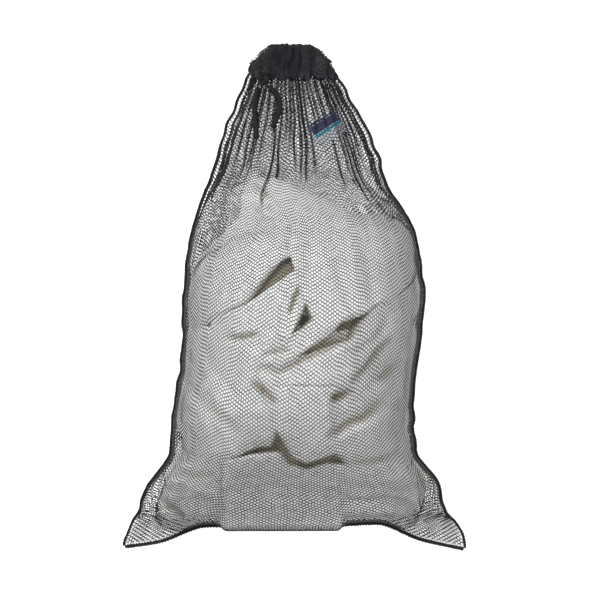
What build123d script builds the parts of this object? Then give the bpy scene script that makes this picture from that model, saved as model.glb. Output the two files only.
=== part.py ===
"""Mesh laundry bag, drawn closed round a load of folded towels and lying on its back.

X runs across the bag, +Y towards the drawn mouth, and +Z up, through its thickness.
The origin is on the surface that the bag lies on, under the middle of its box.
The soft pieces are plain solids of the true outer size. Millimetres.
"""

from build123d import *
from math import pi, radians, tan
import os

os.makedirs("parts", exist_ok=True)

# ---------------------------------------------------------------- driving dimensions
NET = 1.2  # thickness of the knitted net, taken as a sheet
SEAM = 5.0  # width of the overlocked seams
SEAM_HEIGHT = 5.0
FIT = 0.3  # clearance between neighbouring pieces
CORD = 6.5  # drawstring diameter
FLAT = 0.4  # height of the widest line over the surface, as a share of the belly's height
NECK_LIFT = 1.0  # how far the empty neck's underside stays off the surface

# The filled bag from its bottom corners to the gathered head:
# (y, left edge, right edge, height), edges measured over the seams
SECTIONS = [
    (-284, -194, 194, 9),
    (-273, -193, 193, 9),
    (-248, -183, 183, 11),
    (-236, -176, 171, 52),
    (-205, -163, 164, 112),
    (-168, -139, 139, 150),
    (-120, -135, 134, 172),
    (-80, -128, 136, 178),
    (-40, -125, 142, 177),
    (0, -124, 146, 168),
    (36, -122, 143, 150),
    (72, -115, 138, 122),
    (98, -108, 123, 98),
    (124, -100, 107, 72),
    (150, -91, 99, 46),
    (180, -82, 88, 33),
    (210, -70, 72, 28),
    (240, -57, 55, 27),
]
BELLY_END = 124.0  # the load and the stiff part of the bag end here
SHOULDER_END = 180.0  # limp net from here back to the belly folds when the neck is lifted
NECK_END = 240.0  # the gathered head starts here
BELLY_NECK = 130.0  # sections past this one rest on nothing and are round below

# Lower edge of the bag, left corner to right corner, over the seam
BOTTOM_EDGE = [
    (-194, -280),
    (-150, -274),
    (-100, -256),
    (-40, -255),
    (40, -255),
    (95, -253),
    (140, -271),
    (194, -283),
]

BOTTOM_SEAM_Z = (1.5, 8.5)

# Gathered head: (y, half width, half height) of its rings, all round the mouth hole
HEAD_Z = 18.0
CASING_RINGS = [(240, 48, 15.5), (254, 43, 17), (267, 37, 16)]
RUFFLE_RINGS = [(267, 36, 15.5), (276, 29, 13.5), (284, 17, 10)]
MOUTH_HALF_WIDTH = 12.0
MOUTH_HALF_HEIGHT = 6.0
TUNNEL_Y = (248.5, 256.5)  # the drawstring's tunnel inside the casing
TUNNEL_OUTER = (31.0, 12.2)  # half width and half height of the tunnel's outer wall
TUNNEL_INNER = (22.0, 8.6)
CORD_FOOT = HEAD_Z + 6  # the cord's short upright run starts here, inside the loop

KNOT_CENTRE = (-33.5, 246.5, 37.5)
KNOT_RADII = (9.5, 9.5, 7.5)
KNOT_BASE = 31.0
CORD_EXIT = (-27.0, 252.5)  # where the cord comes up out of the casing, X and Y

# Free ends of the drawstring, from the knot along the front of the neck
LEFT_TAIL = [(-39.5, 234.3, 37.5), (-42.5, 222, 34.6), (-43.5, 206, 34.4), (-42, 190, 36.5), (-41.5, 176, 39)]
RIGHT_TAIL = [(-27.5, 234.3, 37.5), (-17.5, 225.5, 34.8), (-15, 213, 34.2), (-19, 200, 35.2), (-24, 189, 37.2)]

LABEL_SIZE = (32.0, 25.0, 0.8)
LABEL_CENTRE = (38.0, 188.0, 19.4)
LABEL_TURN = 33.0
LABEL_HEM = 2.5  # width of the label's sewn edge

# Folded towels in two layers: name, outline of the piece seen from above
LAYER = 66.0  # height of the parting between the lower and the upper layer
TOWEL_GAP = 0.6
SKIN = 2.6  # distance of the load from the outside of the net
UPPER_TOWELS = {
    "towel_bottom_middle": [(-78, -243), (59, -243), (59, -176), (-78, -174)],
    "towel_bottom_left": [(-175, -243), (-78, -243), (-78, -174), (-60, -130), (-150, -110), (-175, -150)],
    "towel_bottom_right": [(59, -243), (165, -243), (165, -120), (62, -136), (59, -176)],
    "towel_middle_left": [
        (-150, -110), (-60, -130), (-78, -174), (-15, -174), (-37, -100), (-29, -59), (-73, -45), (-150, -20)
    ],
    "towel_middle": [(-15, -174), (59, -176), (62, -136), (43, -114), (-37, -100)],
    "towel_middle_right": [(62, -136), (165, -120), (165, 0), (103, 2), (76, -26), (-29, -59), (-37, -100), (43, -114)],
    "towel_left": [(-150, -20), (-73, -45), (-29, -59), (20, -23), (-6, 37), (-62, 72), (-150, 72)],
    "towel_right": [(20, -23), (-29, -59), (76, -26), (103, 2), (165, 0), (165, 90), (60, 97), (4, 60), (-6, 37)],
    "towel_top": [(-62, 72), (-6, 37), (4, 60), (60, 97), (60, 121), (-64, 121)],
}
LOWER_TOWELS = {
    "towel_under_bottom": [(-175, -243), (165, -243), (165, -150), (-175, -150)],
    "towel_under_middle": [(-175, -150), (165, -150), (165, -20), (-175, -20)],
    "towel_under_top": [(-175, -20), (165, -20), (165, 121), (-175, 121)],
}


ROOM = 700.0  # cutting shapes reach this far, past the bag's every side


# ---------------------------------------------------------------- shared shapes
def middle(section):
    """Height of a section's widest line."""
    height = section[3]
    if section[0] > BELLY_NECK:
        return NECK_LIFT + height / 2
    return FLAT * height


def rise(section):
    """Distance from a section's widest line to its top."""
    height = section[3]
    if section[0] > BELLY_NECK:
        return height / 2
    return (1 - FLAT) * height


def bag_space(inset, floor):
    """The closed space that the bag takes up, inset from its outside and cut level underneath."""
    with BuildPart() as space:
        for section in SECTIONS:
            y, left, right, height = section
            half = (right - left) / 2 - SEAM - inset
            with BuildSketch(Plane.XZ.offset(-y)):
                with Locations(((left + right) / 2, middle(section))):
                    Ellipse(half, rise(section) - inset)
        loft(ruled=True)
        with Locations((0, 0, floor)):
            Box(ROOM, ROOM, ROOM, align=(Align.CENTER, Align.CENTER, Align.MIN), mode=Mode.INTERSECT)
    return space.part


def under_seams():
    """Everything below the line of the side seams."""
    with BuildPart() as space:
        with BuildSketch(Plane.YZ):
            with BuildLine():
                line = Polyline([(s[0], middle(s)) for s in SECTIONS])
                Polyline(line @ 1, (SECTIONS[-1][0], -ROOM), (SECTIONS[0][0], -ROOM), line @ 0)
            make_face()
        extrude(amount=ROOM, both=True)
    return space.part


def above_bottom_edge(shift):
    """Everything on the mouth's side of the lower edge, moved up the bag by shift."""
    points = [(x, y + shift) for x, y in BOTTOM_EDGE]
    left_end, right_end = (-ROOM, points[0][1]), (ROOM, points[-1][1])
    with BuildPart() as space:
        with BuildSketch(Plane.XY):
            with BuildLine():
                edge = Spline(points)
                Polyline(edge @ 1, right_end, (ROOM, ROOM), (-ROOM, ROOM), left_end, edge @ 0)
            make_face()
        extrude(amount=ROOM, both=True)
    return space.part


def between(start, end):
    """A slab across the bag from one y to another."""
    with BuildPart() as slab:
        with Locations((0, (start + end) / 2, 0)):
            Box(ROOM, end - start, ROOM)
    return slab.part


def ringed(rings, half_width, half_height):
    """A tapering ring round the mouth hole."""
    with BuildPart() as ring:
        for y, wide, high in rings:
            with BuildSketch(Plane.XZ.offset(-y)):
                with Locations((0, HEAD_Z)):
                    Ellipse(wide, high)
        loft(ruled=True)
        with BuildSketch(Plane.XZ.offset(-rings[0][0])):
            with Locations((0, HEAD_Z)):
                Ellipse(half_width, half_height)
        extrude(amount=-(rings[-1][0] - rings[0][0]), mode=Mode.SUBTRACT)
    return ring.part


def save(piece, name):
    piece.part.label = name
    export_step(piece.part, f"parts/{name}.step")


# ---------------------------------------------------------------- net panels and seams
outside = bag_space(0, 0)
inside = bag_space(NET, NET)
below = under_seams()
panel_area = above_bottom_edge(SEAM)

STRETCHES = {
    "": (SECTIONS[0][0] - 1, BELLY_END - FIT),
    "shoulder_": (BELLY_END + FIT, SHOULDER_END - FIT),
    "neck_": (SHOULDER_END + FIT, NECK_END - FIT),
}
for prefix, (start, end) in STRETCHES.items():
    stretch = between(start, end)
    with BuildPart() as front:
        add(outside)
        add(inside, mode=Mode.SUBTRACT)
        add(stretch, mode=Mode.INTERSECT)
        add(panel_area, mode=Mode.INTERSECT)
        add(below, mode=Mode.SUBTRACT)
    save(front, f"{prefix}front_mesh_panel")
    with BuildPart() as back:
        add(outside)
        add(inside, mode=Mode.SUBTRACT)
        add(stretch, mode=Mode.INTERSECT)
        add(panel_area, mode=Mode.INTERSECT)
        add(below, mode=Mode.INTERSECT)
    save(back, f"{prefix}back_mesh_panel")
    for side, edge in (("left", 1), ("right", 2)):
        outward = -1 if side == "left" else 1
        with BuildPart() as seam:
            for section in SECTIONS[1:]:
                x = section[edge] - outward * (SEAM - FIT) / 2
                with BuildSketch(Plane.XZ.offset(-section[0])):
                    with Locations((x, middle(section) + SEAM_HEIGHT / 5)):
                        Rectangle(SEAM - FIT, SEAM_HEIGHT)
            loft(ruled=True)
            add(stretch, mode=Mode.INTERSECT)
        save(seam, f"{prefix}{side}_side_seam")

with BuildPart() as bottom_seam:
    with BuildSketch(Plane.XY.offset(BOTTOM_SEAM_Z[0])):
        with BuildLine():
            outer_edge = Spline(BOTTOM_EDGE)
            inner_edge = Spline([(x, y + SEAM - FIT) for x, y in BOTTOM_EDGE])
            Line(outer_edge @ 0, inner_edge @ 0)
            Line(outer_edge @ 1, inner_edge @ 1)
        make_face()
    extrude(amount=BOTTOM_SEAM_Z[1] - BOTTOM_SEAM_Z[0])
save(bottom_seam, "bottom_seam")

# ---------------------------------------------------------------- the load
load_space = bag_space(SKIN, SKIN)


def towel(name, outline, low, high):
    """One folded towel: the part of the load's space inside its outline and between two heights."""
    with BuildPart() as piece:
        add(load_space)
        with BuildSketch(Plane.XY.offset(low)):
            with BuildLine():
                Polyline(outline, close=True)
            make_face()
            offset(amount=-TOWEL_GAP / 2, kind=Kind.INTERSECTION)
        extrude(amount=high - low, mode=Mode.INTERSECT)
    save(piece, name)


for name, outline in UPPER_TOWELS.items():
    towel(name, outline, LAYER + TOWEL_GAP, ROOM)
for name, outline in LOWER_TOWELS.items():
    towel(name, outline, 0, LAYER)

# ---------------------------------------------------------------- gathered head
with BuildPart() as drawstring_casing:
    add(ringed(CASING_RINGS, MOUTH_HALF_WIDTH, MOUTH_HALF_HEIGHT))
    with BuildSketch(Plane.XZ.offset(-TUNNEL_Y[0])):
        with Locations((0, HEAD_Z)):
            Ellipse(*TUNNEL_OUTER)
            Ellipse(*TUNNEL_INNER, mode=Mode.SUBTRACT)
    extrude(amount=-(TUNNEL_Y[1] - TUNNEL_Y[0]), mode=Mode.SUBTRACT)
    with BuildSketch(Plane.XY.offset(HEAD_Z)):
        with Locations(CORD_EXIT):
            Circle(CORD / 2 + FIT)
    extrude(amount=ROOM, mode=Mode.SUBTRACT)
save(drawstring_casing, "drawstring_casing")

with BuildPart() as drawstring_loop:
    with BuildSketch(Plane.XZ.offset(-(TUNNEL_Y[0] + FIT))):
        with Locations((0, HEAD_Z)):
            Ellipse(TUNNEL_OUTER[0] - FIT, TUNNEL_OUTER[1] - FIT)
            Ellipse(TUNNEL_INNER[0] + FIT, TUNNEL_INNER[1] + FIT, mode=Mode.SUBTRACT)
    extrude(amount=-(TUNNEL_Y[1] - TUNNEL_Y[0] - 2 * FIT))
    with BuildSketch(Plane.XY.offset(CORD_FOOT)):
        with Locations(CORD_EXIT):
            Circle(CORD / 2)
    extrude(amount=KNOT_BASE - FIT - CORD_FOOT)
save(drawstring_loop, "drawstring_loop")

with BuildPart() as mouth_ruffle:
    add(ringed([(RUFFLE_RINGS[0][0] + FIT,) + RUFFLE_RINGS[0][1:]] + RUFFLE_RINGS[1:],
               MOUTH_HALF_WIDTH - 1, MOUTH_HALF_HEIGHT - 1))
save(mouth_ruffle, "mouth_ruffle")

# ---------------------------------------------------------------- knot and free ends
with BuildPart() as drawstring_knot:
    Sphere(1)
    scale(by=KNOT_RADII)
    with Locations((0, 0, KNOT_BASE - KNOT_CENTRE[2])):
        Box(ROOM, ROOM, ROOM, align=(Align.CENTER, Align.CENTER, Align.MIN), mode=Mode.INTERSECT)
drawstring_knot.part.locate(Location(KNOT_CENTRE))
save(drawstring_knot, "drawstring_knot")


def corner_radii(points):
    """The largest arc that each corner's two runs allow."""
    runs = [Vector(*b) - Vector(*a) for a, b in zip(points, points[1:])]
    return [
        0.45 * min(a.length, b.length) / tan(radians(a.get_angle(b)) / 2)
        for a, b in zip(runs, runs[1:])
    ]


def tail(name, points):
    """A free end of the cord, round where it pivots in the knot."""
    radii = corner_radii(points)
    with BuildPart() as piece:
        with BuildLine():
            route = FilletPolyline(*points, radius=radii)
        with BuildSketch(Plane(route @ 0, z_dir=route % 0)):
            Circle(CORD / 2)
        sweep(path=route)
        share = piece.part.volume / (route.length * pi * CORD**2 / 4)
        print(name, "length", round(route.length, 1), "radii", [round(r, 1) for r in radii],
              "volume over section times length", round(share, 4))
        with Locations(points[0]):
            Sphere(CORD / 2)
    save(piece, name)


tail("left_cord_tail", LEFT_TAIL)
tail("right_cord_tail", RIGHT_TAIL)

# ---------------------------------------------------------------- label
label_plane = Plane(origin=LABEL_CENTRE).rotated((0, 0, LABEL_TURN))
with BuildPart() as label:
    with BuildSketch(label_plane):
        Rectangle(LABEL_SIZE[0], LABEL_SIZE[1])
    extrude(amount=LABEL_SIZE[2])
save(label, "label")

with BuildPart() as label_stitching:
    with BuildSketch(label_plane):
        with Locations((0, LABEL_SIZE[1] / 2 + FIT + LABEL_HEM / 2)):
            Rectangle(LABEL_SIZE[0], LABEL_HEM)
    extrude(amount=LABEL_SIZE[2])
save(label_stitching, "label_stitching")
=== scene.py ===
"""Looks of the mesh laundry bag: real net, folded towels, gathered head, cord and label.

Shapes are worked out in millimetres in the CAD's frame, and scaled to metres when a mesh is made.
"""

import math

import bmesh
import bpy
import numpy as np
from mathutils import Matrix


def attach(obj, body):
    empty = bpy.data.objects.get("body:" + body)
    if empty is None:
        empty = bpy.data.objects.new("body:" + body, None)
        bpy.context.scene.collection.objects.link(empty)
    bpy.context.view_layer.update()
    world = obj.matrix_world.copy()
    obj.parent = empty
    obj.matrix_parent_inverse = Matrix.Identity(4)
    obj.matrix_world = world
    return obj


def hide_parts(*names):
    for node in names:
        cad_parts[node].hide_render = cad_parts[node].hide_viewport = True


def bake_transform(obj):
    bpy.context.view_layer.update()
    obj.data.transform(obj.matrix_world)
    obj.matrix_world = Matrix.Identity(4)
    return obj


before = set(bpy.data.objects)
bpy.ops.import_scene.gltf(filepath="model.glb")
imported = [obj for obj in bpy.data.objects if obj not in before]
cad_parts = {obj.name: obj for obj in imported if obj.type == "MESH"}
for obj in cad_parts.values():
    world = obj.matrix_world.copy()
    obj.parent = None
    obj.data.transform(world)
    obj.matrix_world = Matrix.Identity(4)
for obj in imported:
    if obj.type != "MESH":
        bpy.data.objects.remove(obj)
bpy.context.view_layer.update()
MM = 0.001

# ---------------------------------------------------------------- the bag's form, as in the CAD
SEAM = 5.0
FLAT = 0.4
NECK_LIFT = 1.0
BELLY_NECK = 130.0
SECTIONS = np.array([
    (-284, -194, 194, 9),
    (-273, -193, 193, 9),
    (-248, -183, 183, 11),
    (-236, -176, 171, 52),
    (-205, -163, 164, 112),
    (-168, -139, 139, 150),
    (-120, -135, 134, 172),
    (-80, -128, 136, 178),
    (-40, -125, 142, 177),
    (0, -124, 146, 168),
    (36, -122, 143, 150),
    (72, -115, 138, 122),
    (98, -108, 123, 98),
    (124, -100, 107, 72),
    (150, -91, 99, 46),
    (180, -82, 88, 33),
    (210, -70, 72, 28),
    (240, -57, 55, 27),
    (254, -50, 47, 27),
], float)
# the load ends more bluntly than the bag does
LOAD_END = np.array([
    (-262, -112, 90, 26),
    (-256, -128, 106, 46),
    (-248, -146, 130, 62),
    (-236, -160, 148, 80),
    (-205, -157, 156, 113),
], float)
LOAD_TOP = np.array([
    (36, -118, 143, 150),
    (56, -102, 141, 137),
    (72, -86, 137, 122),
    (98, -70, 112, 98),
    (112, -68, 80, 86),
    (124, -67, 52, 72),
    (136, -60, 20, 58),
], float)
LOAD_SECTIONS = np.concatenate([LOAD_END, SECTIONS[5:10], LOAD_TOP])
BOTTOM_EDGE = np.array([
    (-194, -280),
    (-150, -274),
    (-100, -256),
    (-40, -255),
    (40, -255),
    (95, -253),
    (140, -271),
    (194, -283),
], float)
NET_TOP = 250.0  # the net runs on into the casing to here
HEAD_Z = 18.0
FLOOR_GAP = 0.6  # the lowest net over the surface

# flat cut of each net panel
PANEL_WIDTH = 400.0
PANEL_LENGTH = 600.0

# one cell of the net: column spacing, row pitch, length of its level strand, half widths of strands
COLUMN = 3.03
PITCH = 4.07
LEVEL = 1.75
LEVEL_HALF = 0.50
SLANT_HALF = 0.32
NET_THICK = 0.5


# ---------------------------------------------------------------- small numeric tools
def pairs(a, b):
    """Every pair of two ranges, as two grids whose first axis is a."""
    return np.meshgrid(a, b, indexing="ij")


def smooth(x, low, high):
    """0 below low, 1 above high, smooth between."""
    t = np.clip((x - low) / (high - low), 0, 1)
    return t * t * (3 - 2 * t)


def window(x, low, full, fades, high):
    """0 outside low to high, 1 from full to fades, smooth between."""
    return smooth(x, low, full) * (1 - smooth(x, fades, high))


def curve_through(xs, ys, x):
    """Smooth interpolation through points that doesn't overshoot."""
    h = np.diff(xs)
    d = np.diff(ys) / h
    m = np.empty(len(xs))
    m[0], m[-1] = d[0], d[-1]
    inner = d[:-1] * d[1:] > 0
    w1, w2 = 2 * h[1:] + h[:-1], h[1:] + 2 * h[:-1]
    safe = np.where(inner, d[:-1], 1), np.where(inner, d[1:], 1)
    m[1:-1] = np.where(inner, (w1 + w2) / (w1 / safe[0] + w2 / safe[1]), 0)
    x = np.clip(x, xs[0], xs[-1])
    i = np.clip(np.searchsorted(xs, x) - 1, 0, len(xs) - 2)
    t = (x - xs[i]) / h[i]
    a = (1 + 2 * t) * (1 - t) ** 2
    b = t * (1 - t) ** 2
    c = t * t * (3 - 2 * t)
    e = t * t * (t - 1)
    return a * ys[i] + b * h[i] * m[i] + c * ys[i + 1] + e * h[i] * m[i + 1]


def noise(x, y, seed):
    """Smooth value noise from -1 to 1, one lattice cell per unit."""
    size = 64
    table = np.random.default_rng(seed).uniform(-1, 1, (size, size))
    x, y = np.asarray(x, float), np.asarray(y, float)
    i, j = np.floor(x).astype(int), np.floor(y).astype(int)
    s, t = x - i, y - j
    s, t = s * s * s * (s * (6 * s - 15) + 10), t * t * t * (t * (6 * t - 15) + 10)
    i0, j0, i1, j1 = i % size, j % size, (i + 1) % size, (j + 1) % size
    low = table[i0, j0] * (1 - s) + table[i1, j0] * s
    high = table[i0, j1] * (1 - s) + table[i1, j1] * s
    return low * (1 - t) + high * t


def creases(x, y, angle, wave, seed):
    """Soft ridges that run along one direction, from 0 to 1."""
    c, s = math.cos(math.radians(angle)), math.sin(math.radians(angle))
    along, across = (x * c + y * s), (-x * s + y * c)
    bend = noise(along / (2.4 * wave), across / (2.4 * wave), seed + 7)
    ridge = 1 - np.abs(noise(along / (4.5 * wave) + 0.6 * bend, across / wave + 0.8 * bend, seed))
    return ridge ** 2


def section_at(y, table=SECTIONS):
    """Centre and half width of the bag at y, and the height and rise of its widest line."""
    left = curve_through(table[:, 0], table[:, 1], y)
    right = curve_through(table[:, 0], table[:, 2], y)
    height = curve_through(table[:, 0], table[:, 3], y)
    flat = FLAT + (0.5 - FLAT) * smooth(y, BELLY_NECK - 12, BELLY_NECK + 12)
    lift = NECK_LIFT * smooth(y, BELLY_NECK - 12, BELLY_NECK + 12)
    return (left + right) / 2, (right - left) / 2 - SEAM, lift + flat * height, (1 - flat) * height


def bottom_at(x):
    return curve_through(BOTTOM_EDGE[:, 0], BOTTOM_EDGE[:, 1], x) + SEAM


def skin_height(x, y):
    """Height of the bag's upper skin, and how steep it is across: 1 where level, 0 where upright."""
    centre, half, level, rise = section_at(y)
    u = np.clip((x - centre) / half, -0.999, 0.999)
    w = np.sqrt(1 - u * u)
    return level + rise * w, (w / rise) / np.sqrt((u / half) ** 2 + (w / rise) ** 2)


def on_load(x, y, depth):
    """The point depth below the load's upper skin, straight above (x, y) on the skin."""
    centre, half, level, rise = section_at(y, LOAD_SECTIONS)
    u = np.clip((x - centre) / half, -0.995, 0.995)
    w = np.sqrt(1 - u * u)
    nx, nz = u / half, w / rise
    n = np.sqrt(nx * nx + nz * nz)
    return np.stack([centre + half * u - depth * nx / n, y, level + rise * w - depth * nz / n], -1)


def make_mesh(name, points, faces, smooth_shading=True):
    """A mesh object from points in millimetres."""
    mesh = bpy.data.meshes.new(name)
    points = np.asarray(points, float).reshape(-1, 3) * MM
    mesh.vertices.add(len(points))
    mesh.vertices.foreach_set("co", points.astype(np.float32).ravel())
    faces = [np.asarray(f, np.int32).reshape(-1, n) for n, f in faces.items() if len(f)]
    counts = np.concatenate([np.full(len(f), f.shape[1], np.int32) for f in faces])
    loops = np.concatenate([f.ravel() for f in faces])
    mesh.loops.add(len(loops))
    mesh.loops.foreach_set("vertex_index", loops)
    mesh.polygons.add(len(counts))
    starts = np.concatenate([[0], np.cumsum(counts)[:-1]]).astype(np.int32)
    mesh.polygons.foreach_set("loop_start", starts)
    mesh.polygons.foreach_set("loop_total", counts)
    mesh.update(calc_edges=True)
    mesh.validate()
    mesh.polygons.foreach_set("use_smooth", np.full(len(mesh.polygons), smooth_shading))
    obj = bpy.data.objects.new(name, mesh)
    bpy.context.scene.collection.objects.link(obj)
    return obj


def grid_faces(rows, columns, start=0, wrap=False):
    """Quads of a grid whose points are stored row by row."""
    r, c = pairs(np.arange(rows - 1), np.arange(columns if wrap else columns - 1))
    here, there = start + r * columns, start + (r + 1) * columns
    n = (c + 1) % columns
    return np.stack([here + c, here + n, there + n, there + c], -1).reshape(-1, 4)


def tube_faces(rows, sides):
    """Faces of a closed tube: its rings, and a fan at each end round a hub stored after the rings."""
    k = np.arange(sides)
    n = (k + 1) % sides
    hub = np.full(sides, rows * sides)
    last = (rows - 1) * sides
    fans = [np.stack([n, k, hub], -1), np.stack([last + k, last + n, hub + 1], -1)]
    return {4: grid_faces(rows, sides, wrap=True), 3: np.concatenate(fans)}


def line_length(line):
    return float(np.linalg.norm(np.diff(line, axis=0), axis=1).sum())


def resample(points, count):
    """Each line of points (line, along, 3) again, with count points evenly spaced along it.

    Points of six numbers carry a second place, and the spacing is even along that one.
    """
    steps = np.linalg.norm(np.diff(points[..., -3:], axis=1), axis=2)
    along = np.concatenate([np.zeros((len(points), 1)), np.cumsum(steps, axis=1)], axis=1)
    out = np.empty((len(points), count, points.shape[2]))
    for i, (line, at) in enumerate(zip(points, along)):
        want = np.linspace(0, at[-1], count)
        for k in range(points.shape[2]):
            out[i, :, k] = np.interp(want, at, line[:, k])
    return out


# ---------------------------------------------------------------- materials
def new_material(name, colour, roughness, specular, sheen=0.0):
    mat = bpy.data.materials.new(name)
    mat.use_nodes = True
    shader = mat.node_tree.nodes["Principled BSDF"]
    shader.inputs["Base Color"].default_value = (*colour, 1)
    shader.inputs["Roughness"].default_value = roughness
    shader.inputs["Specular IOR Level"].default_value = specular
    shader.inputs["Sheen Weight"].default_value = sheen
    shader.inputs["Sheen Roughness"].default_value = 0.5
    shader.inputs["Sheen Tint"].default_value = (1, 1, 1, 1)
    return mat, mat.node_tree, shader


def node(tree, kind, **inputs):
    made = tree.nodes.new(kind)
    for name, value in inputs.items():
        made.inputs[name.replace("_", " ")].default_value = value
    return made


def colour_ramp(tree, factor, stops):
    """Colour that goes through the stops (place, colour) as factor rises."""
    ramp = tree.nodes.new("ShaderNodeValToRGB")
    elements = ramp.color_ramp.elements
    for i, (place, colour) in enumerate(stops):
        if i > 1:
            elements.new(place)
        elements[i].position = place
        elements[i].color = (*colour, 1)
    tree.links.new(factor, ramp.inputs["Fac"])
    return ramp


def add_bump(tree, shader, height, distance, strength=1.0):
    bump = node(tree, "ShaderNodeBump", Strength=strength, Distance=distance)
    tree.links.new(height, bump.inputs["Height"])
    tree.links.new(bump.outputs["Normal"], shader.inputs["Normal"])


# painted shade: the cloth's colour runs from white through olive to dark brown as its shade attribute rises
PAINTED_SHADE_COLOURS = [(0.0, (1, 1, 1)), (0.4, (0.50, 0.46, 0.35)), (1.0, (0.055, 0.042, 0.027))]
TERRY_LOOP = 0.0013  # metres
TERRY_DEPTH = 0.0005


def cotton(name, light, stain):
    """Washed white cotton: terry loops, no shine, and brown shade painted into its folds."""
    mat, tree, shader = new_material(name, light, 0.92, sheen=0.2, specular=0.12)
    place = tree.nodes.new("ShaderNodeTexCoord")
    slow = node(tree, "ShaderNodeTexNoise", Scale=16.0, Detail=3.0, Roughness=0.55)
    tree.links.new(place.outputs["Object"], slow.inputs["Vector"])
    ground = colour_ramp(tree, slow.outputs["Fac"], [(0.3, stain), (0.62, light)])
    # painted shade: the shade attribute multiplies the cloth's colour down to olive and brown in folds and
    # gaps
    shade = tree.nodes.new("ShaderNodeAttribute")
    shade.attribute_name = "shade"
    ramp = colour_ramp(tree, shade.outputs["Fac"], PAINTED_SHADE_COLOURS)
    mix = tree.nodes.new("ShaderNodeMix")
    mix.data_type = "RGBA"
    mix.blend_type = "MULTIPLY"
    mix.inputs[0].default_value = 1.0
    tree.links.new(ground.outputs["Color"], mix.inputs[6])
    tree.links.new(ramp.outputs["Color"], mix.inputs[7])
    tree.links.new(mix.outputs[2], shader.inputs["Base Color"])
    loops = node(tree, "ShaderNodeTexVoronoi", Scale=1 / TERRY_LOOP)
    fuzz = node(tree, "ShaderNodeTexNoise", Scale=2.2 / TERRY_LOOP, Detail=2.0)
    tree.links.new(place.outputs["Object"], loops.inputs["Vector"])
    tree.links.new(place.outputs["Object"], fuzz.inputs["Vector"])
    both = node(tree, "ShaderNodeMath")
    both.operation = "SUBTRACT"
    tree.links.new(fuzz.outputs["Fac"], both.inputs[0])
    tree.links.new(loops.outputs["Distance"], both.inputs[1])
    add_bump(tree, shader, both.outputs[0], TERRY_DEPTH)
    return mat


def yarn(name, colour, light, scale=900.0, roughness=0.6):
    """Spun polyester thread: fine uneven filaments, with lighter flecks painted in as glints."""
    mat, tree, shader = new_material(name, colour, roughness, specular=0.12)
    place = tree.nodes.new("ShaderNodeTexCoord")
    fine = node(tree, "ShaderNodeTexNoise", Scale=scale, Detail=2.0)
    tree.links.new(place.outputs["Object"], fine.inputs["Vector"])
    # painted glints: noise flecks of the lighter colour over the yarn's own colour
    ramp = colour_ramp(tree, fine.outputs["Fac"], [(0.35, colour), (0.75, light)])
    tree.links.new(ramp.outputs["Color"], shader.inputs["Base Color"])
    add_bump(tree, shader, fine.outputs["Fac"], 0.0003)
    return mat


def net_material():
    """The net's yarn. Its texture is in the mesh, so its values are plain numbers."""
    return new_material("net_yarn", (0.0075, 0.008, 0.0095), 0.6, specular=0.2)[0]


LABEL_BANDS = [
    (0.0, (0.62, 0.65, 0.70)),
    (0.43, (0.01, 0.42, 0.56)),
    (0.56, (0.45, 0.5, 0.6)),
    (0.60, (0.03, 0.045, 0.15)),
    (0.97, (0.3, 0.34, 0.45)),
]


def label_material():
    """Woven ribbon: navy band, turquoise stripe and white ground, in fine weft ribs."""
    mat, tree, shader = new_material("label_weave", (0.8, 0.82, 0.85), 0.45, sheen=0.2, specular=0.4)
    uv = tree.nodes.new("ShaderNodeUVMap")
    split = tree.nodes.new("ShaderNodeSeparateXYZ")
    tree.links.new(uv.outputs["UV"], split.inputs["Vector"])
    ramp = colour_ramp(tree, split.outputs["Y"], LABEL_BANDS)
    ramp.color_ramp.interpolation = "CONSTANT"
    tree.links.new(ramp.outputs["Color"], shader.inputs["Base Color"])
    ribs = node(tree, "ShaderNodeTexWave", Scale=26.0, Distortion=0.3)
    ribs.bands_direction = "Y"
    tree.links.new(uv.outputs["UV"], ribs.inputs["Vector"])
    add_bump(tree, shader, ribs.outputs["Fac"], 0.0002)
    return mat


def use(obj, material):
    obj.data.materials.append(material)
    return obj


# ---------------------------------------------------------------- camera, light and floor
def set_stage():
    camera = bpy.data.cameras.new("camera")
    camera.lens = 300
    camera.sensor_width = 36
    eye = bpy.data.objects.new("camera", camera)
    eye.location = (0.0068, -0.0011, 0.66 / 36 * 300 + 0.06)
    bpy.context.scene.collection.objects.link(eye)
    bpy.context.scene.camera = eye

    floor = make_mesh("floor", [(-4000, -4000, 0), (4000, -4000, 0), (4000, 4000, 0), (-4000, 4000, 0)],
                      {4: [(0, 1, 2, 3)]})
    paper, _, shader = new_material("floor_paper", (0.93, 0.93, 0.93), 0.8, specular=0.1)
    shader.inputs["Emission Color"].default_value = (1, 1, 1, 1)
    shader.inputs["Emission Strength"].default_value = 0.55
    floor.data.materials.append(paper)
    for name, place, size, power in (
        ("key_light", (-0.9, 1.1, 1.9), 1.0, 68),
        ("fill_light", (1.4, 0.3, 1.7), 1.6, 20),
        ("low_light", (0.2, -1.6, 1.2), 1.4, 10),
    ):
        lamp = bpy.data.lights.new(name, "AREA")
        lamp.shape = "DISK"
        lamp.size = size
        lamp.energy = power
        obj = bpy.data.objects.new(name, lamp)
        obj.location = place
        direction = -np.array(place)
        obj.rotation_euler = (math.atan2(math.hypot(*direction[:2]), -direction[2]), 0,
                              math.atan2(direction[1], direction[0]) - math.pi / 2)
        bpy.context.scene.collection.objects.link(obj)
    world = bpy.data.worlds.new("world")
    world.use_nodes = True
    world.node_tree.nodes["Background"].inputs["Color"].default_value = (1, 1, 1, 1)
    world.node_tree.nodes["Background"].inputs["Strength"].default_value = 0.88
    bpy.context.scene.world = world
    bpy.context.scene.view_settings.view_transform = "Standard"


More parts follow.
